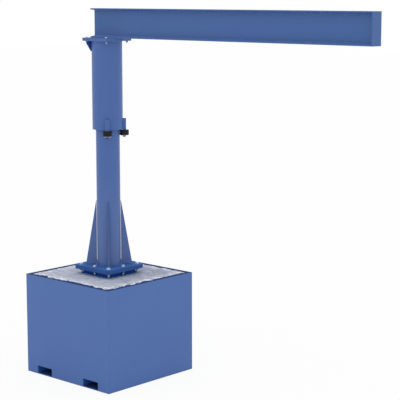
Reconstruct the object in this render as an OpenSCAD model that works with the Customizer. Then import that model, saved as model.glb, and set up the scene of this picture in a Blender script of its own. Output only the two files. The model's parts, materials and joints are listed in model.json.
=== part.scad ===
// Pillar jib crane on a movable steel base filled with concrete. All sizes in mm.
// Origin: centre of the underside of the base, on the column axis.
// +Z is up and +X runs along the jib.

/* [Base box] */
// Length of the base along the jib
base_l = 1100; // [1000:10:1400]
// Width of the base across the jib
base_w = 1090; // [1000:10:1400]
// Height of the base
base_h = 935; // [700:5:1200]
// Thickness of the wall plates
base_wall_t = 8; // [5:1:15]
// Thickness of the floor plate
base_floor_t = 8; // [5:1:15]
// Width of the flange round the top of the box
rim_w = 65; // [40:1:90]
// Thickness of that flange
rim_t = 8; // [5:1:12]
// Height of the concrete above the flange
concrete_rise = 2; // [2:1:15]

/* [Fork pockets] */
// Clear width of a fork pocket
pocket_w = 198; // [150:1:240]
// Clear height of a fork pocket
pocket_h = 70; // [60:1:120]
// Distance from the end of the base to a pocket
pocket_edge = 140; // [100:1:200]
// Thickness of the pocket's folded plate
pocket_t = 6; // [4:1:10]

/* [Anchor] */
// Side of the square anchor frame
anchor_side = 364; // [350:2:380]
// Wall of the anchor frame
anchor_t = 30; // [28:1:60]
// Height of the frame above the concrete
anchor_rise = 50; // [45:1:80]
// Depth of the frame in the concrete
anchor_depth = 300; // [150:10:500]
// Room round a foot nut in its pocket in the frame
nut_room = 2.5; // [1:0.5:5]

/* [Column foot] */
// Side of the two square foot plates
foot_side = 476; // [450:2:520]
// Thickness of each foot plate
foot_t = 18; // [12:1:30]
// Corner cut of the foot plates
foot_corner = 32; // [10:1:40]
// Distance between the outer rows of foot bolts
foot_bolt_pitch = 366; // [356:2:390]
// Thread diameter of the foot bolts
foot_bolt_d = 20; // [16:2:24]

/* [Column gussets] */
// Height of a gusset
gusset_h = 601; // [300:1:700]
// Reach of a gusset from the column axis
gusset_reach = 214; // [180:1:225]
// Thickness of a gusset
gusset_t = 12; // [8:1:20]
// Open slit between a gusset and the column
gusset_gap = 2.5; // [2:0.5:8]
// Width of a gusset's flat top
gusset_tip = 3; // [2:1:20]
// Height of a gusset's nose
gusset_nose = 9; // [5:1:20]
// Corner cut between column and foot plate
gusset_snipe = 25; // [10:1:40]

/* [Column] */
// Outer diameter of the column
column_d = 219.1; // [200:0.1:224]
// Wall of the column
column_t = 12.5; // [8:0.5:16]
// Height of the column above the foot plate
column_h = 1907; // [1500:1:2400]
// Thickness of the cap plate
cap_t = 25; // [15:1:40]

/* [Pivot] */
// Diameter of the pivot pin
pin_d = 80; // [60:1:90]
// Wall of the bronze bush
bush_t = 10; // [6:1:15]
// Outer diameter of the bearing housing
housing_d = 150; // [140:1:180]
// Length of the bearing above the thrust washer
bearing_l = 123.7; // [80:0.1:160]
// Thickness of the thrust washer
thrust_t = 15; // [10:1:20]
// Gap between pin end and head plate
pin_end_gap = 8; // [5:1:20]

/* [Sleeve] */
// Outer diameter of the sleeve
sleeve_d = 279; // [268:1:300]
// Wall of the sleeve
sleeve_t = 8; // [6:0.5:10]
// Length of the sleeve
sleeve_l = 805; // [600:1:900]

/* [Head plates] */
// Side of the two square head plates
head_side = 314; // [300:2:340]
// Thickness of each head plate
head_t = 14; // [10:1:25]
// Distance between the head bolts
head_bolt_pitch = 258; // [250:2:270]
// Thread diameter of the head bolts
head_bolt_d = 12; // [10:1:14]
// Distance of the two head ribs behind the column axis
rib_back = 100; // [80:1:115]
// Height of a head rib
rib_h = 95; // [60:1:200]
// Height of a head rib's outer edge
rib_nose = 22; // [8:1:40]
// Width of a head rib's foot
rib_foot = 6; // [3:1:15]
// Thickness of a head rib
rib_t = 10; // [6:1:14]

/* [Jib] */
// Length of the beam, without its end plate
jib_l = 3112; // [2000:1:4000]
// Overhang of the beam behind the column axis
jib_back = 155; // [150:1:300]
// Depth of the beam
beam_h = 264; // [200:1:300]
// Width of the flanges
beam_b = 115; // [90:1:130]
// Thickness of the web
beam_web = 9.4; // [6:0.1:12]
// Mean thickness of the flanges
beam_flange = 14.1; // [11:0.1:20]
// Slope of the inner flange faces
flange_slope = 0.14; // [0.05:0.01:0.2]
// Thickness of the end plate
end_plate_t = 10; // [6:1:20]

/* [Rollers] */
// Gap between a roller and the column
roller_gap = 0.3; // [0.1:0.1:1]
// Diameter of the rollers
roller_d = 84; // [70:1:90]
// Width of the rollers
roller_w = 46; // [30:1:50]
// Edge bevel of the rollers
roller_bevel = 4; // [1:0.5:8]
// Direction of each roller, measured from the jib
roller_angle = 45; // [40:1:60]
// Diameter of the roller axles
axle_d = 16; // [12:1:20]
// Length of an axle's thread in its bracket
axle_grip = 60; // [30:1:80]
// Length of an axle's thread below its nut
axle_end = 3; // [2:1:8]
// Thickness of the spacer above a roller
spacer_h = 3; // [2:0.5:5]
// Diameter of the disc below a roller
disc_d = 74; // [40:1:74]
// Thickness of that disc
disc_t = 3; // [2:0.5:5]
// Wall of a roller hub
hub_t = 12; // [6:1:16]
// Gap between the sleeve's lower end and the rollers
roller_drop = 9; // [5:1:15]
// Width of a roller bracket
bracket_w = 42; // [38:1:60]
// Height of a roller bracket
bracket_h = 103; // [60:1:150]
// Depth of a roller bracket beyond the sleeve
bracket_depth = 29; // [26:1:50]

/* [Clearances] */
// Radial play of the pivot and of the roller bores
running_fit = 0.05; // [0.02:0.01:0.1]
// Play between faces that turn on each other
face_play = 0.3; // [0.2:0.1:0.5]
// Radial play of a bolt in its hole
bolt_play = 1; // [0.5:0.5:2]

/* [Hidden] */
$fn = 96;
eps = 1;
steel_blue = [0.30, 0.41, 0.62];
plate_blue = [0.19, 0.35, 0.62];
box_blue = [0.33, 0.44, 0.66];
zinc = [0.72, 0.75, 0.78];
bare_steel = [0.55, 0.56, 0.58];
bronze = [0.62, 0.48, 0.28];
roller_black = [0.08, 0.08, 0.09];
concrete_grey = [0.72, 0.73, 0.76];

inner_l = base_l - 2 * base_wall_t;
inner_w = base_w - 2 * base_wall_t;
wall_top = base_h - rim_t;
concrete_top = base_h + concrete_rise;
pocket_outer_w = pocket_w + 2 * pocket_t;
pocket_outer_h = pocket_h + pocket_t;
pocket_x = base_l / 2 - pocket_edge - pocket_w / 2;

anchor_bottom = concrete_top - anchor_depth;
anchor_top = concrete_top + anchor_rise;
nut_pocket_r = washer_r(foot_bolt_d) + nut_room;
nut_pocket_h = bolt_shank(foot_bolt_d, 0) + nut_room;
foot_joint = anchor_top + foot_t;
foot_top = foot_joint + foot_t;
column_r = column_d / 2;
column_bore_r = column_r - column_t;

column_top = foot_top + column_h;
cap_top = column_top + cap_t;
thrust_top = cap_top + thrust_t;
housing_bottom = thrust_top + face_play;
sleeve_r = sleeve_d / 2;
sleeve_bore_r = sleeve_r - sleeve_t;
sleeve_top = housing_bottom + bearing_l;
sleeve_bottom = sleeve_top - sleeve_l;
pin_r = pin_d / 2;
bush_bore_r = pin_r + running_fit;
bush_r = bush_bore_r + bush_t;
thrust_r = bush_r + bush_t / 2;

head_joint = sleeve_top + head_t;
beam_bottom = head_joint + head_t;
rib_root = sqrt(sleeve_r * sleeve_r - rib_back * rib_back);

root_r = beam_web;
toe_r = 0.6 * beam_web;
flange_angle = atan(flange_slope);

roller_r = roller_d / 2;
axle_r = axle_d / 2;
hub_r = axle_r + hub_t;
axle_offset = column_r + roller_gap + roller_r;
roller_top = sleeve_bottom - roller_drop;
roller_bottom = roller_top - roller_w;
spacer_r = 1.5 * axle_r;
bracket_bottom = roller_top + face_play + spacer_h;

function head_flats(d) = 1.5 * d;
function hex_r(flats) = flats / (2 * cos(30));
function head_height(d) = 0.625 * d;
function nut_height(d) = 0.8 * d;
function washer_t(d) = 0.15 * d;
function washer_r(d) = 0.925 * d;
function thread_end(d) = 0.9 * d;

// The eight places of the foot bolts: the grid without its centre
foot_bolt_places = [
    for (i = [-1:1], j = [-1:1]) if (i != 0 || j != 0)
        [i * foot_bolt_pitch / 2, j * foot_bolt_pitch / 2]
];
head_bolt_places = [
    for (i = [-1, 1], j = [-1, 1])
        [i * head_bolt_pitch / 2, j * head_bolt_pitch / 2]
];

// ---- shared shapes ----

// Square outline with its corners cut off
module cut_square(side, corner) {
    intersection() {
        square(side, center = true);
        rotate(45) square(sqrt(2) * (side - corner), center = true);
    }
}

module ring(outer_r, inner_r, height) {
    difference() {
        cylinder(r = outer_r, h = height);
        translate([0, 0, -eps]) cylinder(r = inner_r, h = height + 2 * eps);
    }
}

// Square plate with cut corners and a hole at every place of a bolt
module bolted_plate(side, corner, thickness, places, bolt_d) {
    difference() {
        linear_extrude(thickness) cut_square(side, corner);
        for (p = places)
            translate([p[0], p[1], -eps])
                cylinder(r = bolt_d / 2 + bolt_play, h = thickness + 2 * eps);
    }
}

// Hex bolt with its washer, head up, its washer resting at z = 0
module hex_bolt(d, shank) {
    cylinder(r = washer_r(d), h = washer_t(d));
    translate([0, 0, washer_t(d)])
        cylinder(r = hex_r(head_flats(d)), h = head_height(d), $fn = 6);
    translate([0, 0, -shank]) cylinder(d = d, h = shank);
}

// Washer and nut round a bolt, hanging below z = 0
module hex_nut(d) {
    translate([0, 0, -washer_t(d)])
        ring(washer_r(d), d / 2, washer_t(d));
    difference() {
        translate([0, 0, -washer_t(d) - nut_height(d)])
            cylinder(r = hex_r(head_flats(d)), h = nut_height(d), $fn = 6);
        translate([0, 0, -washer_t(d) - nut_height(d) - eps])
            cylinder(d = d, h = nut_height(d) + 2 * eps);
    }
}

function bolt_shank(d, grip) = grip + washer_t(d) + nut_height(d) + thread_end(d);

// ---- base box ----

// Places one child at each of the two fork pockets
module at_pocket(side) {
    translate([side * pocket_x, 0, base_floor_t]) children();
}

module base_floor_plate() {
    color(box_blue)
        translate([-base_l / 2, -base_w / 2, 0]) cube([base_l, base_w, base_floor_t]);
}

// Wall across the pockets, its inner face at y = 0, with both pocket mouths cut out
module pocket_wall() {
    difference() {
        translate([-base_l / 2, -base_wall_t, base_floor_t])
            cube([base_l, base_wall_t, wall_top - base_floor_t]);
        for (side = [-1, 1])
            at_pocket(side)
                translate([-pocket_w / 2, -base_wall_t - eps, -eps])
                    cube([pocket_w, base_wall_t + 2 * eps, pocket_h + eps]);
    }
}

module base_front_wall() {
    color(box_blue) translate([0, -inner_w / 2, 0]) pocket_wall();
}

module base_back_wall() {
    color(box_blue) translate([0, inner_w / 2, 0]) mirror([0, 1, 0]) pocket_wall();
}

module side_wall() {
    translate([inner_l / 2, -inner_w / 2, base_floor_t])
        cube([base_wall_t, inner_w, wall_top - base_floor_t]);
}

module base_left_wall() {
    color(box_blue) mirror([1, 0, 0]) side_wall();
}

module base_right_wall() {
    color(box_blue) side_wall();
}

module base_top_rim() {
    color(box_blue)
        translate([0, 0, wall_top])
            linear_extrude(rim_t)
                difference() {
                    square([base_l, base_w], center = true);
                    square([base_l - 2 * rim_w, base_w - 2 * rim_w], center = true);
                }
}

// Outline of a pocket's folded plate, or of the whole block that it takes up
module pocket_block() {
    translate([-pocket_outer_w / 2, -inner_w / 2, 0])
        cube([pocket_outer_w, inner_w, pocket_outer_h]);
}

module fork_pocket() {
    difference() {
        pocket_block();
        translate([-pocket_w / 2, -inner_w / 2 - eps, -eps])
            cube([pocket_w, inner_w + 2 * eps, pocket_h + eps]);
    }
}

module fork_pocket_left() {
    color(box_blue) at_pocket(-1) fork_pocket();
}

module fork_pocket_right() {
    color(box_blue) at_pocket(1) fork_pocket();
}

module anchor_outline() {
    difference() {
        square(anchor_side, center = true);
        square(anchor_side - 2 * anchor_t, center = true);
    }
}

module concrete_fill() {
    opening_l = base_l - 2 * rim_w;
    opening_w = base_w - 2 * rim_w;
    color(concrete_grey)
        difference() {
            union() {
                translate([-inner_l / 2, -inner_w / 2, base_floor_t])
                    cube([inner_l, inner_w, wall_top - base_floor_t]);
                translate([-opening_l / 2, -opening_w / 2, wall_top - eps])
                    cube([opening_l, opening_w, concrete_top - wall_top + eps]);
            }
            for (side = [-1, 1])
                at_pocket(side) pocket_block();
            translate([0, 0, anchor_bottom])
                linear_extrude(anchor_depth + eps) anchor_outline();
        }
}

// ---- anchor and column foot ----

// Square frame with a pocket for every foot nut in its upper end
module anchor_frame() {
    color(plate_blue)
        difference() {
            translate([0, 0, anchor_bottom])
                linear_extrude(anchor_depth + anchor_rise) anchor_outline();
            for (p = foot_bolt_places)
                translate([p[0], p[1], anchor_top - nut_pocket_h])
                    cylinder(r = nut_pocket_r, h = nut_pocket_h + eps);
        }
}

module foot_plate() {
    bolted_plate(foot_side, foot_corner, foot_t, foot_bolt_places, foot_bolt_d);
}

module anchor_flange() {
    color(plate_blue) translate([0, 0, anchor_top]) foot_plate();
}

module column_foot_plate() {
    color(plate_blue) translate([0, 0, foot_joint]) foot_plate();
}

module column_tube() {
    color(steel_blue)
        translate([0, 0, foot_top]) ring(column_r, column_bore_r, column_h);
}

// Tapered plate along +X, welded by its foot only and just clear of the column
module gusset() {
    inner_x = column_r + gusset_gap;
    translate([0, gusset_t / 2, 0])
        rotate([90, 0, 0])
            linear_extrude(gusset_t)
                polygon([
                    [inner_x, gusset_snipe],
                    [inner_x + gusset_snipe, 0],
                    [gusset_reach, 0],
                    [gusset_reach, gusset_nose],
                    [inner_x + gusset_tip, gusset_h],
                    [inner_x, gusset_h]
                ]);
}

module placed_gusset(angle) {
    color(steel_blue) translate([0, 0, foot_top]) rotate(angle) gusset();
}

module gusset_front() {
    placed_gusset(-45);
}

module gusset_right() {
    placed_gusset(45);
}

module gusset_back() {
    placed_gusset(135);
}

module gusset_left() {
    placed_gusset(-135);
}

module foot_bolts() {
    color(zinc)
        for (p = foot_bolt_places)
            translate([p[0], p[1], foot_top])
                hex_bolt(foot_bolt_d, bolt_shank(foot_bolt_d, 2 * foot_t));
}

module foot_nuts() {
    color(zinc)
        for (p = foot_bolt_places)
            translate([p[0], p[1], anchor_top]) hex_nut(foot_bolt_d);
}

// ---- pivot ----

module column_cap() {
    color(steel_blue)
        translate([0, 0, column_top]) cylinder(r = column_r, h = cap_t);
}

module pivot_pin() {
    color(bare_steel)
        translate([0, 0, cap_top])
            cylinder(r = pin_r, h = sleeve_top - pin_end_gap - cap_top);
}

module thrust_washer() {
    color(bronze)
        translate([0, 0, cap_top]) ring(thrust_r, pin_r, thrust_t);
}

module bearing_housing() {
    color(steel_blue)
        translate([0, 0, housing_bottom])
            ring(housing_d / 2, bush_r, sleeve_top - housing_bottom);
}

module bearing_bush() {
    color(bronze)
        translate([0, 0, housing_bottom])
            ring(bush_r, bush_bore_r, sleeve_top - housing_bottom);
}

// ---- sleeve and head ----

module sleeve_tube() {
    color(steel_blue)
        translate([0, 0, sleeve_bottom]) ring(sleeve_r, sleeve_bore_r, sleeve_l);
}

module head_plate() {
    bolted_plate(head_side, 0, head_t, head_bolt_places, head_bolt_d);
}

module head_lower_plate() {
    color(plate_blue) translate([0, 0, sleeve_top]) head_plate();
}

module head_upper_plate() {
    color(plate_blue) translate([0, 0, head_joint]) head_plate();
}

// Upright plate beside the back of the sleeve, under the edge of the head plate
module head_rib() {
    difference() {
        translate([-rib_back - rib_t / 2, 0, sleeve_top])
            rotate([90, 0, 90])
                linear_extrude(rib_t)
                    polygon([
                        [rib_root - rib_t, 0],
                        [rib_root - rib_t, -rib_h],
                        [rib_root + rib_foot, -rib_h],
                        [head_side / 2, -rib_nose],
                        [head_side / 2, 0]
                    ]);
        translate([0, 0, sleeve_top - rib_h - eps])
            cylinder(r = sleeve_r, h = rib_h + 2 * eps);
    }
}

module head_rib_left() {
    color(plate_blue) head_rib();
}

module head_rib_right() {
    color(plate_blue) mirror([0, 1, 0]) head_rib();
}

module head_bolts() {
    color(zinc)
        for (p = head_bolt_places)
            translate([p[0], p[1], beam_bottom])
                hex_bolt(head_bolt_d, bolt_shank(head_bolt_d, 2 * head_t));
}

module head_nuts() {
    color(zinc)
        for (p = head_bolt_places)
            translate([p[0], p[1], sleeve_top]) hex_nut(head_bolt_d);
}

// ---- jib ----

// Height of the sloping inner face of the top flange at a distance from the web's centre
function flange_face(x) =
    beam_h / 2 - beam_flange - flange_slope * (beam_b / 4 - x);

// One quarter of the rolled section: half a flange with its round toe and root
module beam_quarter() {
    top = beam_h / 2;
    side = beam_b / 2;
    toe_x = side - toe_r;
    toe_y = flange_face(toe_x) + toe_r / cos(flange_angle);
    root_x = beam_web / 2 + root_r;
    root_y = flange_face(root_x) - root_r / cos(flange_angle);
    toe_point = [toe_x + toe_r * sin(flange_angle), toe_y - toe_r * cos(flange_angle)];
    root_point = [root_x - root_r * sin(flange_angle), root_y + root_r * cos(flange_angle)];
    intersection() {
        square([side, top]);
        difference() {
            union() {
                polygon([
                    [0, top], [side, top], [side, toe_y], [toe_x, toe_y], toe_point,
                    root_point, [root_x, root_y], [beam_web / 2, root_y], [0, root_y]
                ]);
                translate([toe_x, toe_y]) circle(r = toe_r);
                square([beam_web / 2, root_y + eps]);
            }
            translate([root_x, root_y]) circle(r = root_r);
        }
    }
}

module beam_section() {
    for (flip_x = [0, 1], flip_y = [0, 1])
        mirror([flip_x, 0]) mirror([0, flip_y]) beam_quarter();
}

module jib_beam() {
    color(steel_blue)
        translate([-jib_back, 0, beam_bottom + beam_h / 2])
            rotate([90, 0, 90]) linear_extrude(jib_l) beam_section();
}

module jib_end_plate() {
    color(box_blue)
        translate([jib_l - jib_back, -beam_b / 2, beam_bottom])
            cube([end_plate_t, beam_b, beam_h]);
}

// ---- pressure rollers ----

module at_roller(side) {
    rotate(side * roller_angle) children();
}

// Block on the outside of the sleeve, bored for the axle
module roller_bracket() {
    difference() {
        translate([sleeve_r - eps, -bracket_w / 2, bracket_bottom])
            cube([bracket_depth + eps, bracket_w, bracket_h]);
        translate([0, 0, bracket_bottom - eps])
            cylinder(r = sleeve_r, h = bracket_h + 2 * eps);
        translate([axle_offset, 0, bracket_bottom - eps])
            cylinder(r = axle_r, h = axle_grip + eps);
    }
}

// Stud screwed into the bracket, with its spacer, disc and nut
module roller_axle() {
    nut_top = roller_bottom - face_play - disc_t;
    axle_bottom = nut_top - nut_height(axle_d) - axle_end;
    translate([axle_offset, 0, 0]) {
        translate([0, 0, axle_bottom])
            cylinder(r = axle_r, h = bracket_bottom + axle_grip - axle_bottom);
        translate([0, 0, roller_top + face_play]) cylinder(r = spacer_r, h = spacer_h);
        translate([0, 0, nut_top]) cylinder(d = disc_d, h = disc_t);
        translate([0, 0, nut_top - nut_height(axle_d)])
            cylinder(r = hex_r(head_flats(axle_d)), h = nut_height(axle_d), $fn = 6);
    }
}

module roller_hub() {
    translate([axle_offset, 0, roller_bottom])
        ring(hub_r, axle_r + running_fit, roller_w);
}

// Wheel with bevelled edges round the hub
module roller_tyre() {
    translate([axle_offset, 0, roller_bottom])
        rotate_extrude()
            polygon([
                [hub_r, 0], [roller_r - roller_bevel, 0], [roller_r, roller_bevel],
                [roller_r, roller_w - roller_bevel], [roller_r - roller_bevel, roller_w],
                [hub_r, roller_w]
            ]);
}

module roller_bracket_left() {
    color(steel_blue) at_roller(1) roller_bracket();
}

module roller_bracket_right() {
    color(steel_blue) at_roller(-1) roller_bracket();
}

module roller_axle_left() {
    color(zinc) at_roller(1) roller_axle();
}

module roller_axle_right() {
    color(zinc) at_roller(-1) roller_axle();
}

module roller_hub_left() {
    color(bare_steel) at_roller(1) roller_hub();
}

module roller_hub_right() {
    color(bare_steel) at_roller(-1) roller_hub();
}

module roller_tyre_left() {
    color(roller_black) at_roller(1) roller_tyre();
}

module roller_tyre_right() {
    color(roller_black) at_roller(-1) roller_tyre();
}

base_floor_plate();
base_front_wall();
base_back_wall();
base_left_wall();
base_right_wall();
base_top_rim();
fork_pocket_left();
fork_pocket_right();
concrete_fill();
anchor_frame();
anchor_flange();
column_foot_plate();
column_tube();
gusset_front();
gusset_right();
gusset_back();
gusset_left();
foot_bolts();
foot_nuts();
column_cap();
pivot_pin();
thrust_washer();
sleeve_tube();
head_lower_plate();
head_rib_left();
head_rib_right();
bearing_housing();
bearing_bush();
head_upper_plate();
head_bolts();
head_nuts();
jib_beam();
jib_end_plate();
roller_bracket_left();
roller_bracket_right();
roller_axle_left();
roller_axle_right();
roller_hub_left();
roller_hub_right();
roller_tyre_left();
roller_tyre_right();
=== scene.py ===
"""Pillar jib crane on a concrete-filled base: its finishes, fasteners, welds and rollers."""

import json
import math
import random

import bmesh
import bpy
from mathutils import Matrix, Vector, noise


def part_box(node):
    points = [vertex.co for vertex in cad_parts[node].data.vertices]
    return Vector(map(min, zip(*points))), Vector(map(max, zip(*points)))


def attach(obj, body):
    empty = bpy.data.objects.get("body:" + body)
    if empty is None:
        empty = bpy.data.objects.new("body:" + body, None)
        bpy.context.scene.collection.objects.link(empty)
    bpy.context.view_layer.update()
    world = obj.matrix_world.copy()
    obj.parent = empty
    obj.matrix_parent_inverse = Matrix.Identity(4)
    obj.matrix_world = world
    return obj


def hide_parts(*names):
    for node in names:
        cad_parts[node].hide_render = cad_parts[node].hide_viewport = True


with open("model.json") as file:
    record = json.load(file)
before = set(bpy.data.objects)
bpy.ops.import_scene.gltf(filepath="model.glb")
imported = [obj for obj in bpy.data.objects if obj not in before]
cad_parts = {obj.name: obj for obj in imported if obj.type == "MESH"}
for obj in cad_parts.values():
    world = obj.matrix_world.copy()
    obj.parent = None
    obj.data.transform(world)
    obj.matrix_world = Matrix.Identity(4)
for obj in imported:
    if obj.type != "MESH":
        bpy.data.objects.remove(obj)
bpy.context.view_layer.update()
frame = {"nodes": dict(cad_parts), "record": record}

MM = 0.001
random.seed(7)

# ---- sizes, in mm ----

foot_bolt_d = 20
head_bolt_d = 12
axle_d = 16
thread_pitch = {foot_bolt_d: 2.5, head_bolt_d: 1.75, axle_d: 2.0}
gusset_t = 12
gusset_gap = 2.5
gusset_snipe = 25
gusset_reach = 214
nut_room = 2.5
rim_w = 65
face_play = 0.3
spacer_h = 3
spacer_r = 0.75 * axle_d
disc_d = 74
disc_t = 3
bracket_w = 42
beam_web = 9.4

plate_weld = 6
thin_weld = 4
greying_low = 1000
greying_top = 1900

# usual proportions of fasteners, as shares of the thread diameter
washer_r_share = 0.925
washer_t_share = 0.15
head_h_share = 0.625
nut_h_share = 0.8
flats_share = 1.5
thread_out_share = 0.9
foot_washer_r = washer_r_share * foot_bolt_d
head_washer_r = washer_r_share * head_bolt_d

# how finely meshes are drawn
round_steps = 48
rings_per_thread = 4
bead_step = 2.5
rings_per_ripple = 3


def level(node, side):
    """Height of a node's lower (0) or upper (1) face, in mm."""
    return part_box(node)[side].z / MM


def half_size(node, axis):
    """Half the extent of a node along an axis, in mm."""
    low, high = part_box(node)
    return (high[axis] - low[axis]) / 2 / MM


foot_top = level("column_foot_plate", 1)
anchor_top = level("anchor_flange", 0)
sleeve_top = level("sleeve_tube", 1)
beam_bottom = level("jib_beam", 0)
beam_top = level("jib_beam", 1)
rim_top = level("base_top_rim", 1)
concrete_top = level("concrete_fill", 1)
roller_bottom = level("roller_tyre_left", 0)
roller_top = level("roller_tyre_left", 1)
bracket_bottom = level("roller_bracket_left", 0)
bracket_top = level("roller_bracket_left", 1)
column_r = half_size("column_tube", 0)
sleeve_r = half_size("sleeve_tube", 0)
roller_r = half_size("roller_tyre_left", 0)
hub_r = half_size("roller_hub_left", 0)
head_half = half_size("head_lower_plate", 0)
foot_grip = foot_top - anchor_top
head_grip = beam_bottom - sleeve_top

# ---- materials ----

foot_grey = "#9399A8"
film_roughness = 0.95


def linear(hex_colour):
    """Turns an sRGB hex value into linear red, green, blue and alpha."""
    parts = [int(hex_colour[i:i + 2], 16) / 255 for i in (1, 3, 5)]
    return [p / 12.92 if p <= 0.04045 else ((p + 0.055) / 1.055) ** 2.4 for p in parts] + [1]


def add_node(tree, kind, inputs=None, **settings):
    """Adds a node with its settings; each input is a value or another node's output."""
    made = tree.nodes.new(kind)
    for name, value in settings.items():
        setattr(made, name, value)
    for key, value in (inputs or {}).items():
        if isinstance(value, bpy.types.NodeSocket):
            tree.links.new(value, made.inputs[key])
        else:
            made.inputs[key].default_value = value
    return made


def new_material(name):
    """A material with an empty node tree."""
    made = bpy.data.materials.new(name)
    made.use_nodes = True
    made.node_tree.nodes.clear()
    return made, made.node_tree


def set_surface(tree, shader):
    """Links a shader to the material's output."""
    add_node(tree, "ShaderNodeOutputMaterial", {"Surface": shader.outputs[0]})


def powder_coat(name, colour, shade, painted_top_tone, roughness, edge_mm, foot_greying=0.0, lean=(0.6, 0.95),
                shine=0.2):
    """Baked powder coat on steel: an even satin, a faint orange peel and soft edges."""
    made, tree = new_material(name)
    place = add_node(tree, "ShaderNodeTexCoord").outputs["Object"]
    # the coat's thickness drifts over a few hundred millimetres
    drift = add_node(tree, "ShaderNodeTexNoise",
                     {"Vector": place, "Scale": 1 / (350 * MM), "Detail": 3.0})
    coat = add_node(tree, "ShaderNodeMix",
                    {0: drift.outputs["Fac"], 6: linear(colour), 7: linear(shade)},
                    data_type="RGBA")
    # handling leaves patches a hand wide that are a little duller
    patches = add_node(tree, "ShaderNodeTexNoise",
                       {"Vector": place, "Scale": 1 / (90 * MM), "Detail": 4.0})
    gloss = add_node(tree, "ShaderNodeMapRange",
                     {"Value": patches.outputs["Fac"], "To Min": roughness - 0.05,
                      "To Max": roughness + 0.07})
    # faces that look up are duller, as under a thin film of dust, and take a tone of their
    # own: painted shade where it is darker than the coat, painted light where it is lighter
    facing = add_node(tree, "ShaderNodeNewGeometry").outputs["Normal"]
    height = add_node(tree, "ShaderNodeSeparateXYZ", {"Vector": facing})
    top_shade_and_dust = add_node(tree, "ShaderNodeMapRange",
                    {"Value": height.outputs["Z"], "From Min": lean[0], "From Max": lean[1]})
    coat_with_painted_tops = add_node(tree, "ShaderNodeMix",
                           {0: top_shade_and_dust.outputs["Result"], 6: coat.outputs[2],
                            7: linear(painted_top_tone)}, data_type="RGBA")
    # lower down the coat is mixed with a pale grey: none above 1.9 m, the full share given
    # below 1 m
    altitude = add_node(tree, "ShaderNodeSeparateXYZ", {"Vector": place})
    foot_greying_mask = add_node(tree, "ShaderNodeMapRange",
                     {"Value": altitude.outputs["Z"], "From Min": greying_top * MM,
                      "From Max": greying_low * MM, "To Min": 0.0, "To Max": foot_greying})
    foot_greyed_coat = add_node(tree, "ShaderNodeMix",
                           {0: foot_greying_mask.outputs["Result"], 6: coat_with_painted_tops.outputs[2],
                            7: linear(foot_grey)}, data_type="RGBA")
    filmed_gloss = add_node(tree, "ShaderNodeMix",
                            {0: top_shade_and_dust.outputs["Result"], 2: gloss.outputs["Result"],
                             3: film_roughness}, data_type="FLOAT")
    # orange peel: low waves about 4 mm apart
    peel = add_node(tree, "ShaderNodeTexNoise",
                    {"Vector": place, "Scale": 1 / (4 * MM), "Detail": 2.0})
    edge = add_node(tree, "ShaderNodeBevel", {"Radius": edge_mm * MM}, samples=4)
    bump = add_node(tree, "ShaderNodeBump",
                    {"Height": peel.outputs["Fac"], "Strength": 0.35,
                     "Distance": 0.06 * MM, "Normal": edge.outputs["Normal"]})
    set_surface(tree, add_node(
        tree, "ShaderNodeBsdfPrincipled",
        {"Base Color": foot_greyed_coat.outputs[2], "Roughness": filmed_gloss.outputs[0],
         "IOR": 1.5, "Specular IOR Level": shine, "Normal": bump.outputs["Normal"]}))
    return made


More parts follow.
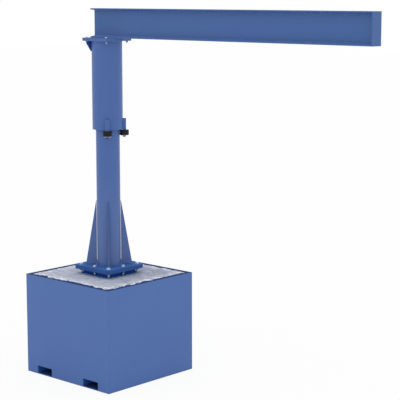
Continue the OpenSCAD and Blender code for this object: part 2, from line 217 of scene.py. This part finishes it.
def trowelled_concrete(name):
    """Cast concrete, struck off by hand: cloudy grey with pale laitance and pits."""
    made, tree = new_material(name)
    place = add_node(tree, "ShaderNodeTexCoord").outputs["Object"]
    clouds = add_node(tree, "ShaderNodeTexNoise",
                      {"Vector": place, "Scale": 1 / (150 * MM), "Detail": 5.0,
                       "Roughness": 0.65})
    cloud_mask = add_node(tree, "ShaderNodeMapRange",
                          {"Value": clouds.outputs["Fac"], "From Min": 0.3,
                           "From Max": 0.7})
    body = add_node(tree, "ShaderNodeMix",
                    {0: cloud_mask.outputs["Result"], 6: linear("#A8AFC0"),
                     7: linear("#C8CEDF")}, data_type="RGBA")
    # the concrete is darker towards its corner at plus x and plus y
    side = add_node(tree, "ShaderNodeVectorMath", {0: place, 1: (0.7, 0.7, 0.0)},
                    operation="DOT_PRODUCT")
    corner_darkening = add_node(tree, "ShaderNodeMapRange",
                    {"Value": side.outputs["Value"], "From Min": -350 * MM,
                     "From Max": 550 * MM, "To Min": 0.0, "To Max": 0.6})
    corner_darkened = add_node(tree, "ShaderNodeMix",
                      {0: corner_darkening.outputs["Result"], 6: body.outputs[2],
                       7: linear("#868EA3")}, data_type="RGBA")
    # the trowel drags the paste into streaks along the box
    drag_space = add_node(tree, "ShaderNodeMapping",
                          {"Vector": place, "Scale": (0.3, 1.0, 1.0)})
    drag = add_node(tree, "ShaderNodeTexNoise",
                    {"Vector": drag_space.outputs[0], "Scale": 1 / (34 * MM), "Detail": 4.0})
    streaks = add_node(tree, "ShaderNodeMapRange",
                       {"Value": drag.outputs["Fac"], "From Min": 0.48, "From Max": 0.66,
                        "To Min": 0.0, "To Max": 0.5})
    dragged = add_node(tree, "ShaderNodeMix",
                       {0: streaks.outputs["Result"], 6: corner_darkened.outputs[2],
                        7: linear("#D6DAE6")}, data_type="RGBA")
    # white laitance gathers near the rim and on the lip
    spread = add_node(tree, "ShaderNodeVectorMath", {0: place}, operation="ABSOLUTE")
    reach = add_node(tree, "ShaderNodeSeparateXYZ", {"Vector": spread.outputs[0]})
    edge = add_node(tree, "ShaderNodeMath",
                    {0: reach.outputs["X"], 1: reach.outputs["Y"]}, operation="MAXIMUM")
    near_rim = add_node(tree, "ShaderNodeMapRange",
                        {"Value": edge.outputs[0], "From Min": 400 * MM,
                         "From Max": 480 * MM})
    crust = add_node(tree, "ShaderNodeTexNoise",
                     {"Vector": place, "Scale": 1 / (45 * MM), "Detail": 3.0})
    crust_mask = add_node(tree, "ShaderNodeMapRange",
                          {"Value": crust.outputs["Fac"], "From Min": 0.42,
                           "From Max": 0.58, "To Min": 0.0, "To Max": 0.95})
    laitance = add_node(tree, "ShaderNodeMath",
                        {0: near_rim.outputs["Result"], 1: crust_mask.outputs["Result"]},
                        operation="MULTIPLY")
    whitened = add_node(tree, "ShaderNodeMix",
                        {0: laitance.outputs[0], 6: dragged.outputs[2],
                         7: linear("#F1F2F8")}, data_type="RGBA")
    # air holes are 1 to 6 mm wide in real concrete, drawn at 5 to 15 mm so that they show
    holes = add_node(tree, "ShaderNodeTexVoronoi",
                     {"Vector": place, "Scale": 1 / (38 * MM), "Randomness": 1.0})
    ragged = add_node(tree, "ShaderNodeTexNoise",
                      {"Vector": place, "Scale": 1 / (28 * MM), "Detail": 3.0,
                       "Roughness": 0.7})
    uneven = add_node(tree, "ShaderNodeMath",
                      {0: ragged.outputs["Fac"], 1: 1.2, 2: holes.outputs["Distance"]},
                      operation="MULTIPLY_ADD")
    hole_mask = add_node(tree, "ShaderNodeMapRange",
                         {"Value": uneven.outputs[0], "From Min": 0.66,
                          "From Max": 0.75, "To Min": 0.85, "To Max": 0.0})
    pitted = add_node(tree, "ShaderNodeMix",
                      {0: hole_mask.outputs["Result"], 6: whitened.outputs[2],
                       7: linear("#434959")}, data_type="RGBA")
    # sand grains of 2 to 4 mm, drawn 6 mm apart so that they show
    sand = add_node(tree, "ShaderNodeTexNoise",
                    {"Vector": place, "Scale": 1 / (6 * MM), "Detail": 3.0})
    heights = add_node(tree, "ShaderNodeMath",
                       {0: sand.outputs["Fac"], 1: drag.outputs["Fac"]}, operation="ADD")
    bump = add_node(tree, "ShaderNodeBump",
                    {"Height": heights.outputs[0], "Strength": 0.8, "Distance": 2 * MM})
    set_surface(tree, add_node(
        tree, "ShaderNodeBsdfPrincipled",
        {"Base Color": pitted.outputs[2], "Roughness": 0.9, "IOR": 1.45,
         "Specular IOR Level": 0.2, "Normal": bump.outputs["Normal"]}))
    return made


def worked_metal(name, colour, shade, roughness, grain_mm, stretch):
    """Bare or plated metal with the fine marks of its working, drawn along the z axis."""
    made, tree = new_material(name)
    place = add_node(tree, "ShaderNodeTexCoord").outputs["Object"]
    marks_space = add_node(tree, "ShaderNodeMapping",
                           {"Vector": place, "Scale": (1.0, 1.0, stretch)})
    marks = add_node(tree, "ShaderNodeTexNoise",
                     {"Vector": marks_space.outputs[0], "Scale": 1 / (grain_mm * MM),
                      "Detail": 4.0})
    metal = add_node(tree, "ShaderNodeMix",
                     {0: marks.outputs["Fac"], 6: linear(colour), 7: linear(shade)},
                     data_type="RGBA")
    gloss = add_node(tree, "ShaderNodeMapRange",
                     {"Value": marks.outputs["Fac"], "To Min": roughness - 0.08,
                      "To Max": roughness + 0.1})
    edge = add_node(tree, "ShaderNodeBevel", {"Radius": 0.6 * MM}, samples=4)
    bump = add_node(tree, "ShaderNodeBump",
                    {"Height": marks.outputs["Fac"], "Strength": 0.3,
                     "Distance": 0.05 * MM, "Normal": edge.outputs["Normal"]})
    set_surface(tree, add_node(
        tree, "ShaderNodeBsdfPrincipled",
        {"Base Color": metal.outputs[2], "Metallic": 1.0,
         "Roughness": gloss.outputs["Result"], "Normal": bump.outputs["Normal"]}))
    return made


def cast_polyamide(name):
    """Cast polyamide, turned to size: near black and satin, with fine tool marks."""
    made, tree = new_material(name)
    place = add_node(tree, "ShaderNodeTexCoord").outputs["Object"]
    # marks 1.5 mm apart; a wave texture has 20 waves in 2 pi of its own scaled length
    mark_spacing = 1.5 * MM
    rings = add_node(tree, "ShaderNodeTexWave",
                     {"Vector": place, "Scale": math.tau / (20 * mark_spacing),
                      "Distortion": 0.4},
                     bands_direction="Z")
    scuffs = add_node(tree, "ShaderNodeTexNoise",
                      {"Vector": place, "Scale": 1 / (12 * MM), "Detail": 5.0})
    nylon = add_node(tree, "ShaderNodeMix",
                     {0: scuffs.outputs["Fac"], 6: linear("#0E0F11"), 7: linear("#18191B")},
                     data_type="RGBA")
    gloss = add_node(tree, "ShaderNodeMapRange",
                     {"Value": scuffs.outputs["Fac"], "To Min": 0.42, "To Max": 0.62})
    bump = add_node(tree, "ShaderNodeBump",
                    {"Height": rings.outputs["Fac"], "Strength": 0.25, "Distance": 0.1 * MM})
    set_surface(tree, add_node(
        tree, "ShaderNodeBsdfPrincipled",
        {"Base Color": nylon.outputs[2], "Roughness": gloss.outputs["Result"], "IOR": 1.53,
         "Specular IOR Level": 0.2, "Normal": bump.outputs["Normal"]}))
    return made


# faces of this coat that look up take a darker blue: painted shade
tube_paint = powder_coat("powder_coat_tube_blue", "#4B69A4", "#4F6DA8", "#3A5C96",
                         0.36, 1.0, foot_greying=0.16)
# the sloping edges of the gussets take a darker tone, painted shade, and are duller
gusset_paint = powder_coat("powder_coat_gusset_blue", "#4B69A4", "#4F6DA8", "#43619A",
                           0.36, 1.0, foot_greying=0.16, lean=(0.05, 0.14))
# faces of the beam's coat that look up, such as the top of the lower flange under the upper
# one, take a lighter blue: painted light
beam_paint = powder_coat("powder_coat_beam_blue", "#44659E", "#4869A2", "#587BB5",
                         0.36, 1.0)
# faces of the box's coat that look up, such as the rim's top, take a dark navy: painted shade
box_paint = powder_coat("powder_coat_box_blue", "#4F6FAB", "#5373AF", "#223C72",
                        0.38, 1.5)
# inside the fork pockets the coat is a deeper, bluer and darker tone with less sheen: painted
# shade
pocket_painted_shade = powder_coat("powder_coat_pocket_painted_shade", "#2C68BA", "#306CBE", "#2C68BA",
                           0.45, 1.5, shine=0.05)
# the plates' faces that look up take a brighter blue than their sides: painted light
plate_paint = powder_coat("powder_coat_plate_blue", "#2A5091", "#2F5495", "#3B6CAE",
                          0.38, 1.2)
# the anchor frame lies in the shade under the foot plate, and its near-black navy coat is
# painted shade
anchor_painted_shade = powder_coat("powder_coat_anchor_painted_shade", "#084491", "#0C4897", "#084491",
                           0.45, 1.2, shine=0.05)
# the coat lies over the ripples of a weld; on the plate welds the faces that look up are a
# little darker, painted shade
plate_weld_paint = powder_coat("powder_coat_over_plate_weld", "#3A5E9C", "#4064A2",
                               "#365A98", 0.40, 0.5)
tube_weld_paint = powder_coat("powder_coat_over_tube_weld", "#4B6AA5", "#4F6EA9",
                              "#4B6AA5", 0.40, 0.5)
concrete = trowelled_concrete("trowelled_concrete")
zinc_plate = worked_metal("zinc_plated_steel", "#D3DFF4", "#EAF1FF", 0.45, 3, 1.0)
# the nuts under the plates are rough, dull zinc, darkened in colour as painted shade
dull_zinc_painted_shade = worked_metal("dull_zinc_nuts_painted_shade", "#76829C", "#8A96B0", 0.60, 3, 1.0)
black_oxide = worked_metal("black_oxide_steel", "#303236", "#404246", 0.45, 3, 1.0)
turned_steel = worked_metal("turned_steel", "#8F9196", "#A5A7AB", 0.30, 2, 6.0)
turned_bronze = worked_metal("turned_bearing_bronze", "#A07C44", "#B58E52", 0.32, 2, 6.0)
polyamide = cast_polyamide("cast_polyamide_black")

slot_finish = {
    "blue_paint": tube_paint,
    "plate_paint": plate_paint,
    "box_paint": box_paint,
    "concrete": concrete,
    "zinc": zinc_plate,
    "turned_steel": turned_steel,
    "bronze": turned_bronze,
    "roller_plastic": polyamide,
}
own_finish = {
    "anchor_frame": anchor_painted_shade,
    "jib_beam": beam_paint,
    "jib_end_plate": beam_paint,
}
own_finish.update({node: gusset_paint for node in frame["nodes"] if "gusset" in node})
own_finish.update({node: pocket_painted_shade for node in frame["nodes"] if "pocket" in node})
for part in frame["record"]["subparts"]:
    cad_mesh = frame["nodes"][part["node"]].data
    cad_mesh.materials.clear()
    cad_mesh.materials.append(
        own_finish.get(part["node"], slot_finish[part["material_slot"]]))

# ---- mesh tools ----


def turn(angle, x, y, z):
    """A point given in mm, turned about the column axis, in metres."""
    return Matrix.Rotation(angle, 3, "Z") @ Vector((x, y, z)) * MM


def heading(angle, x, y):
    """A level direction, turned about the column axis."""
    return Matrix.Rotation(angle, 3, "Z") @ Vector((x, y, 0))


def loft(bm, rings, ends):
    """Joins closed rings of points by faces; ends is 'capped' or 'joined'."""
    made = [[bm.verts.new(point) for point in ring] for ring in rings]
    count = len(made[0])
    pairs = list(zip(made, made[1:]))
    if ends == "joined":
        pairs.append((made[-1], made[0]))
    for lower, upper in pairs:
        for i in range(count):
            j = (i + 1) % count
            bm.faces.new((lower[i], lower[j], upper[j], upper[i]))
    if ends == "capped":
        bm.faces.new(list(reversed(made[0])))
        bm.faces.new(made[-1])


def circle_points(place, radius_at, height_at):
    """A ring of points round the z axis of a place; radius and height depend on the angle."""
    angles = [2 * math.pi * i / round_steps for i in range(round_steps)]
    return [place @ (Vector((radius_at(a) * math.cos(a), radius_at(a) * math.sin(a),
                             height_at(a))) * MM) for a in angles]


def turned(bm, place, profile, ends):
    """A turned form from (radius, height) pairs in mm."""
    loft(bm, [circle_points(place, lambda a, r=r: r, lambda a, z=z: z)
              for r, z in profile], ends)


def washer(bm, place, inner_r, outer_r, low, high):
    """Washer with its outer edges broken by a share of its thickness."""
    broken_share = 0.15
    edge = broken_share * (high - low)
    turned(bm, place, [(inner_r, low), (outer_r - edge, low), (outer_r, low + edge),
                       (outer_r, high - edge), (outer_r - edge, high), (inner_r, high)],
           "joined")


def hexagon(bm, place, flats, low, high, bore_r=None):
    """Hexagon whose corners are turned off to 30 degrees at both ends, bored or solid."""
    # the turned-off end is a circle a little narrower than the flats
    crown_share = 0.475
    crown_r = crown_share * flats
    slope = math.tan(math.radians(30))

    def side_r(angle):
        return flats / 2 / math.cos((angle + math.pi / 6) % (math.pi / 3) - math.pi / 6)

    def drop(angle):
        return (side_r(angle) - crown_r) * slope

    rings = [
        circle_points(place, lambda a: crown_r, lambda a: low),
        circle_points(place, side_r, lambda a: low + drop(a)),
        circle_points(place, side_r, lambda a: high - drop(a)),
        circle_points(place, lambda a: crown_r, lambda a: high),
    ]
    if bore_r is None:
        loft(bm, rings, "capped")
        return
    rings.insert(0, circle_points(place, lambda a: bore_r, lambda a: low))
    rings.append(circle_points(place, lambda a: bore_r, lambda a: high))
    loft(bm, rings, "joined")


def threaded_rod(bm, place, d, plain_from, thread_from, end):
    """Rod along the z axis whose last stretch has a screw thread and a broken end."""
    pitch = thread_pitch[d]
    # a metric thread is about 0.61 of its pitch deep
    depth_share = 0.61
    depth = depth_share * pitch
    steps = round(abs(end - thread_from) / pitch * rings_per_thread)
    rings = [circle_points(place, lambda a: d / 2, lambda a: plain_from),
             circle_points(place, lambda a: d / 2, lambda a: thread_from)]
    for k in range(1, steps + 1):
        z = thread_from + (end - thread_from) * k / steps
        to_end = abs(end - z)

        def thread_r(angle):
            phase = (z / pitch - angle / (2 * math.pi)) % 1
            return d / 2 - max(depth * abs(2 * phase - 1), depth - to_end)

        rings.append(circle_points(place, thread_r, lambda a: z))
    loft(bm, rings, "capped")


def add_piece(name, bm, finish, body, replaced=(), crease=35):
    """Makes a piece from a mesh, gives it its finish and fixes it to a body."""
    bmesh.ops.recalc_face_normals(bm, faces=bm.faces)
    mesh = bpy.data.meshes.new(name)
    bm.to_mesh(mesh)
    bm.free()
    mesh.materials.append(finish)
    mesh.polygons.foreach_set("use_smooth", [True] * len(mesh.polygons))
    mesh.set_sharp_from_angle(angle=math.radians(crease))
    piece = bpy.data.objects.new(name, mesh)
    bpy.context.scene.collection.objects.link(piece)
    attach(piece, body)
    if replaced:
        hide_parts(*replaced)


# ---- fasteners ----


def bolt_places(node, washer_r, with_middles):
    """Centres of the bolts on a square, in mm, from the outline of their CAD node."""
    reach = half_size(node, 0) - washer_r
    rows = (-reach, 0, reach) if with_middles else (-reach, reach)
    return [(x, y) for x in rows for y in rows if x or y]


def bolt_set(name, node, d, washer_r, places, seat, grip, body):
    """Hex bolts, heads up: washer, head, shank and the thread end below the nut."""
    bm = bmesh.new()
    washer_t = washer_t_share * d
    nut_h = nut_h_share * d
    for x, y in places:
        spin = random.uniform(0, math.pi / 3)
        place = Matrix.Translation(Vector((x, y, seat)) * MM) @ Matrix.Rotation(spin, 4, "Z")
        washer(bm, place, d / 2, washer_r, 0, washer_t)
        hexagon(bm, place, flats_share * d, washer_t, washer_t + head_h_share * d)
        end = -(grip + washer_t + nut_h + thread_out_share * d)
        threaded_rod(bm, place, d, 0, -(grip + washer_t + nut_h / 2), end)
    add_piece(name, bm, zinc_plate, body, [node])


def nut_set(name, node, d, washer_r, places, seat, body):
    """Washers and hex nuts on the underside of a plate, in a rough zinc whose darker colour is
    painted shade.
    """
    bm = bmesh.new()
    washer_t = washer_t_share * d
    nut_h = nut_h_share * d
    for x, y in places:
        spin = random.uniform(0, math.pi / 3)
        place = Matrix.Translation(Vector((x, y, seat)) * MM) @ Matrix.Rotation(spin, 4, "Z")
        washer(bm, place, d / 2, washer_r, -washer_t, 0)
        hexagon(bm, place, flats_share * d, -washer_t - nut_h, -washer_t, d / 2)
    add_piece(name, bm, dull_zinc_painted_shade, body, [node])


foot_places = bolt_places("foot_bolts", foot_washer_r, True)
head_places = bolt_places("head_bolts", head_washer_r, False)
bolt_set("foot_bolt_set", "foot_bolts", foot_bolt_d, foot_washer_r, foot_places,
         foot_top, foot_grip, "base")
nut_set("foot_nut_set", "foot_nuts", foot_bolt_d, foot_washer_r, foot_places,
        anchor_top, "base")
bolt_set("head_bolt_set", "head_bolts", head_bolt_d, head_washer_r, head_places,
         beam_bottom, head_grip, "jib")
nut_set("head_nut_set", "head_nuts", head_bolt_d, head_washer_r, head_places,
        sleeve_top, "jib")

# ---- pressure rollers ----


def roller_axle(side, centre):
    """Blackened stud with its spacer and nut, and the plated disc below the roller."""
    bm = bmesh.new()
    disc_bm = bmesh.new()
    place = Matrix.Translation(Vector((centre.x, centre.y, 0)))
    low, high = (level(f"roller_axle_{side}", i) for i in (0, 1))
    nut_top = roller_bottom - face_play - disc_t
    threaded_rod(bm, place, axle_d, high, nut_top, low)
    washer(disc_bm, place, axle_d / 2, disc_d / 2, nut_top, nut_top + disc_t)
    add_piece(f"roller_disc_{side}", disc_bm, zinc_plate, "jib")
    hexagon(bm, place, flats_share * axle_d, nut_top - nut_h_share * axle_d, nut_top,
            axle_d / 2)
    spacer_low = roller_top + face_play
    washer(bm, place, axle_d / 2, spacer_r, spacer_low, spacer_low + spacer_h)
    add_piece(f"roller_stud_{side}", bm, black_oxide, "jib",
              [f"roller_axle_{side}"])


def roller_wheel(side, centre):
    """Turned wheel: rounded shoulders and a shallow dish in each face."""
    bm = bmesh.new()
    place = Matrix.Translation(Vector((centre.x, centre.y, 0)))
    shoulder = 3.5
    shoulder_steps = 5
    dish = 2.0
    boss = 3
    tread = 7
    dish_low_r = hub_r + boss
    dish_high_r = roller_r - tread
    face = [(hub_r, 0), (dish_low_r, 0), (dish_low_r + dish, dish),
            (dish_high_r - dish, dish), (dish_high_r, 0)]
    arc = [math.pi / 2 * k / shoulder_steps for k in range(shoulder_steps + 1)]
    face += [(roller_r - shoulder * (1 - math.sin(a)), shoulder * (1 - math.cos(a)))
             for a in arc]
    lower = [(r, roller_bottom + z) for r, z in face]
    upper = [(r, roller_top - z) for r, z in reversed(face)]
    turned(bm, place, lower + upper, "joined")
    add_piece(f"roller_wheel_{side}", bm, polyamide, f"roller_{side}",
              [f"roller_tyre_{side}"])


for joint in frame["record"]["behaviour"]["joints"]:
    if joint["name"].startswith("roller_"):
        roller_side = joint["child"].removeprefix("roller_")
        roller_centre = Vector(joint["pos_m"])
        roller_axle(roller_side, roller_centre)
        roller_wheel(roller_side, roller_centre)

# ---- welds ----

# shares of a bead's leg: its ripple, its wander, how full it is, its height at its ends,
# and how much it grows there from one ring to the next
bead_ripple = 0.05
bead_wander = 0.05
bead_fullness = 0.14
bead_end = 0.45
bead_growth = 0.28
# in mm: the length over which a bead wanders, and how deep its root lies in the corner
bead_wander_length = 12
bead_root = 0.4
bead_facets = 4


def bead(bm, path, leg, joined=False):
    """Fillet weld along (corner, side, side) triples: a full, rippled ridge."""
    rings = []
    for i, (corner, side_a, side_b) in enumerate(path):
        swell = 1 + bead_ripple * math.sin(i * 2 * math.pi / rings_per_ripple)
        swell += bead_wander * noise.noise(corner / (bead_wander_length * MM))
        if not joined:
            from_end = min(i, len(path) - 1 - i)
            swell *= min(1, bead_end + bead_growth * from_end)
        ring = [corner - (side_a + side_b) * bead_root * MM]
        for k in range(bead_facets + 1):
            a = math.pi / 2 * k / bead_facets
            full = (1 + bead_fullness * math.sin(2 * a)) / (math.cos(a) + math.sin(a))
            ring.append(corner + (side_a * math.cos(a) + side_b * math.sin(a))
                        * (leg * MM * swell * full))
        rings.append(ring)
    loft(bm, rings, "joined" if joined else "capped")


def straight(start, end, side_a, side_b):
    """Path of a straight weld between two points in metres."""
    steps = max(rings_per_ripple, round((end - start).length / (bead_step * MM)))
    return [(start.lerp(end, i / steps), side_a, side_b) for i in range(steps + 1)]


def round_path(radius, z, up):
    """Path of a weld right round the column axis; radius and height in mm."""
    ripples = round(2 * math.pi * radius / bead_step / rings_per_ripple)
    steps = ripples * rings_per_ripple
    path = []
    for i in range(steps):
        a = 2 * math.pi * i / steps
        path.append((turn(a, radius, 0, z), heading(a, 1, 0), Vector((0, 0, up))))
    return path


up = Vector((0, 0, 1))
down = -up
diagonals = [math.radians(a) for a in (45, 135, 225, 315)]

foot_bm = bmesh.new()
gusset_foot = column_r + gusset_gap + gusset_snipe
for angle in diagonals:
    for hand in (-1, 1):
        across = heading(angle, 0, hand)
        y = hand * gusset_t / 2
        bead(foot_bm, straight(turn(angle, gusset_foot, y, foot_top),
                               turn(angle, gusset_reach, y, foot_top), across, up),
             plate_weld)
bead(foot_bm, round_path(column_r, foot_top, 1), plate_weld, joined=True)
add_piece("column_foot_welds", foot_bm, plate_weld_paint, "base")

anchor_bm = bmesh.new()
anchor_half = half_size("anchor_frame", 0)
pocket_end = foot_washer_r + nut_room + thin_weld
corner_end = half_size("foot_nuts", 0) - foot_washer_r - pocket_end
for quarter in range(4):
    angle = quarter * math.pi / 2
    outward = heading(angle, 1, 0)
    for hand in (-1, 1):
        bead(anchor_bm, straight(turn(angle, anchor_half, hand * pocket_end, anchor_top),
                                 turn(angle, anchor_half, hand * corner_end, anchor_top),
                                 outward, down), thin_weld)
# the frame's beads take the same near-black coat, painted shade
add_piece("anchor_frame_welds", anchor_bm, anchor_painted_shade, "base")

# in mm: where the beads of the ribs and the brackets stop short of the pieces' ends
rib_weld_low = 20
bracket_weld_low = 6
bracket_weld_high = 2
bracket_weld_in = 3
# the bracket's upper bead starts a little inside the sleeve's face
bracket_weld_sink = 1
sleeve_bm = bmesh.new()
bead(sleeve_bm, round_path(sleeve_r, sleeve_top, -1), plate_weld, joined=True)
for node, hand in (("head_rib_left", 1), ("head_rib_right", -1)):
    low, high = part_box(node)
    out_y = Vector((0, hand, 0))
    for x, face in ((high.x, 1), (low.x, -1)):
        root_y = hand * math.sqrt((sleeve_r * MM) ** 2 - x ** 2)
        out_x = Vector((face, 0, 0))
        along_sleeve = Vector((-root_y, x, 0)).normalized()
        if along_sleeve.x * face < 0:
            along_sleeve = -along_sleeve
        bead(sleeve_bm, straight(Vector((x, root_y, low.z + rib_weld_low * MM)),
                                 Vector((x, root_y, sleeve_top * MM)), out_y,
                                 along_sleeve), thin_weld)
        bead(sleeve_bm, straight(Vector((x, root_y, sleeve_top * MM)),
                                 Vector((x, hand * head_half * MM, sleeve_top * MM)),
                                 out_x, down), thin_weld)
bracket_angles = [math.radians(a) for a in (45, -45)]
bracket_x = math.sqrt(sleeve_r ** 2 - (bracket_w / 2) ** 2)
bracket_top_x = sleeve_r - bracket_weld_sink
bracket_top_y = bracket_w / 2 - bracket_weld_in
for angle in bracket_angles:
    outward = heading(angle, 1, 0)
    for hand in (-1, 1):
        y = hand * bracket_w / 2
        bead(sleeve_bm, straight(turn(angle, bracket_x, y, bracket_bottom + bracket_weld_low),
                                 turn(angle, bracket_x, y, bracket_top - bracket_weld_high),
                                 outward, heading(angle, 0, hand)), thin_weld)
    bead(sleeve_bm, straight(turn(angle, bracket_top_x, -bracket_top_y, bracket_top),
                             turn(angle, bracket_top_x, bracket_top_y, bracket_top),
                             outward, up), thin_weld)
add_piece("sleeve_welds", sleeve_bm, tube_weld_paint, "jib")

# in mm: where the beam's beads stop short of the head plate's edges and of the flanges
seat_weld_in = 4
web_weld_in = 28
beam_bm = bmesh.new()
beam_half = half_size("jib_beam", 1)
plate_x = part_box("jib_end_plate")[0].x
seat_x = (head_half - seat_weld_in) * MM
seat_z = beam_bottom * MM
for hand in (-1, 1):
    side = Vector((0, hand, 0))
    y = hand * beam_half * MM
    bead(beam_bm, straight(Vector((-seat_x, y, seat_z)), Vector((seat_x, y, seat_z)), side,
                           up), thin_weld)
    web_y = hand * beam_web / 2 * MM
    bead(beam_bm, straight(Vector((plate_x, web_y, (beam_bottom + web_weld_in) * MM)),
                           Vector((plate_x, web_y, (beam_top - web_weld_in) * MM)),
                           Vector((-1, 0, 0)), side), thin_weld)
add_piece("beam_welds", beam_bm, tube_weld_paint, "jib")

# ---- concrete surface ----

# in mm: how far the lip runs over the rim, on the two sides where the pour was struck off
# and on the others, and its limits
lip_struck = 17
lip_plain = 6
lip_least = 2
lip_most = 58
# in mm: height and length of the lip's long and short wander
lip_waves = ((36, 75), (20, 22))
# in mm: the skin's rise over the solid, its waves, and its tuck below the rim's top
skin_rise = 1.6
skin_wave = 1.0
skin_wave_length = 60
skin_grain = 1.2
skin_grain_length = 15
skin_tuck = 0.5
# a high power, so that the run over the rim dies away just inside the edge
lip_power = 30
# rows of the noise that keep the four sides of the lip unlike each other
end_row = 900
side_row = 500
# layer of the noise that the skin's grain is taken from
grain_layer = 3


def concrete_skin():
    """Struck-off top of the concrete: slightly wavy, with a broken lip over the rim."""
    cells = 200
    opening_x = half_size("base_top_rim", 0) - rim_w
    opening_y = half_size("base_top_rim", 1) - rim_w
    bm = bmesh.new()

    def lip(along, row, struck):
        """How far the lip runs over the rim in mm, further where the pour was struck off."""
        place = Vector((along, row if struck else -row, 0))
        run = lip_struck if struck else lip_plain
        for height, length in lip_waves:
            run += height * noise.noise(place / length)
        return min(lip_most, max(lip_least, run))

    grid = []
    for j in range(cells + 1):
        row = []
        for i in range(cells + 1):
            u = 2 * i / cells - 1
            v = 2 * j / cells - 1
            out_x = lip(v * opening_y, end_row, u > 0) * abs(u) ** lip_power
            out_y = lip(u * opening_x, side_row, v < 0) * abs(v) ** lip_power
            x = u * opening_x + math.copysign(out_x, u)
            y = v * opening_y + math.copysign(out_y, v)
            z = concrete_top + skin_rise
            z += skin_wave * noise.noise(Vector((x, y, 0)) / skin_wave_length)
            z += skin_grain * noise.noise(Vector((x, y, grain_layer)) / skin_grain_length)
            if i in (0, cells) or j in (0, cells):
                z = rim_top - skin_tuck
            row.append(bm.verts.new(Vector((x, y, z)) * MM))
        grid.append(row)
    for lower, upper in zip(grid, grid[1:]):
        for i in range(cells):
            bm.faces.new((lower[i], lower[i + 1], upper[i + 1], upper[i]))
    outline = grid[0][:-1] + [row[-1] for row in grid[:-1]]
    outline += grid[-1][:0:-1] + [row[0] for row in grid[:0:-1]]
    bm.faces.new(list(reversed(outline)))
    add_piece("concrete_surface", bm, concrete, "base", crease=60)


concrete_skin()

# ---- floor, light and camera ----

# share of plain white that the camera sees in the floor; the rest shows shadow
floor_white = 0.9
floor_half_m = 60
# in mm: the floor lies just under the box, so that the two faces don't coincide
floor_drop = 0.2
light_level = 0.95
camera_place_m = (8.726, -8.285, 3.518)
camera_down_degrees = 8.957
camera_turn_degrees = 42.441
lens_mm = 117.87
sensor_mm = 36
view_depth_m = 200

floor_material, floor_tree = new_material("plain_white_floor")
camera_ray = add_node(floor_tree, "ShaderNodeLightPath").outputs["Is Camera Ray"]
seen = add_node(floor_tree, "ShaderNodeMath", {0: camera_ray, 1: floor_white},
                operation="MULTIPLY")
matt = add_node(floor_tree, "ShaderNodeBsdfDiffuse", {"Color": linear("#FAFAFB")})
glow = add_node(floor_tree, "ShaderNodeEmission", {"Color": linear("#FFFFFF")})
set_surface(floor_tree, add_node(
    floor_tree, "ShaderNodeMixShader",
    {0: seen.outputs[0], 1: matt.outputs[0], 2: glow.outputs[0]}))
floor_bm = bmesh.new()
bmesh.ops.create_grid(floor_bm, x_segments=8, y_segments=8, size=floor_half_m)
floor_mesh = bpy.data.meshes.new("floor")
floor_bm.to_mesh(floor_mesh)
floor_bm.free()
floor_mesh.materials.append(floor_material)
floor = bpy.data.objects.new("floor", floor_mesh)
floor.location.z = -floor_drop * MM
bpy.context.scene.collection.objects.link(floor)

scene = bpy.context.scene
world = bpy.data.worlds.new("white_studio")
scene.world = world
world.use_nodes = True
world.node_tree.nodes.clear()
studio = world.node_tree
rays = add_node(studio, "ShaderNodeLightPath")
seen_or_mirrored = add_node(studio, "ShaderNodeMath",
                            {0: rays.outputs["Is Camera Ray"],
                             1: rays.outputs["Is Glossy Ray"]}, operation="MAXIMUM")
seen_through = add_node(studio, "ShaderNodeMath",
                        {0: seen_or_mirrored.outputs[0],
                         1: rays.outputs["Is Transmission Ray"]}, operation="MAXIMUM")
soft_light = add_node(studio, "ShaderNodeBackground",
                      {"Color": linear("#FFFFFF"), "Strength": light_level})
white = add_node(studio, "ShaderNodeBackground", {"Color": linear("#FFFFFF"), "Strength": 1.0})
sky = add_node(studio, "ShaderNodeMixShader",
               {0: seen_through.outputs[0], 1: soft_light.outputs[0], 2: white.outputs[0]})
add_node(studio, "ShaderNodeOutputWorld", {"Surface": sky.outputs[0]})

camera_data = bpy.data.cameras.new("camera")
camera_data.lens = lens_mm
camera_data.sensor_width = sensor_mm
camera_data.clip_end = view_depth_m
camera = bpy.data.objects.new("camera", camera_data)
camera.location = camera_place_m
camera.rotation_euler = (math.radians(90 - camera_down_degrees), 0,
                         math.radians(camera_turn_degrees))
scene.collection.objects.link(camera)
scene.camera = camera
scene.view_settings.view_transform = "Standard"
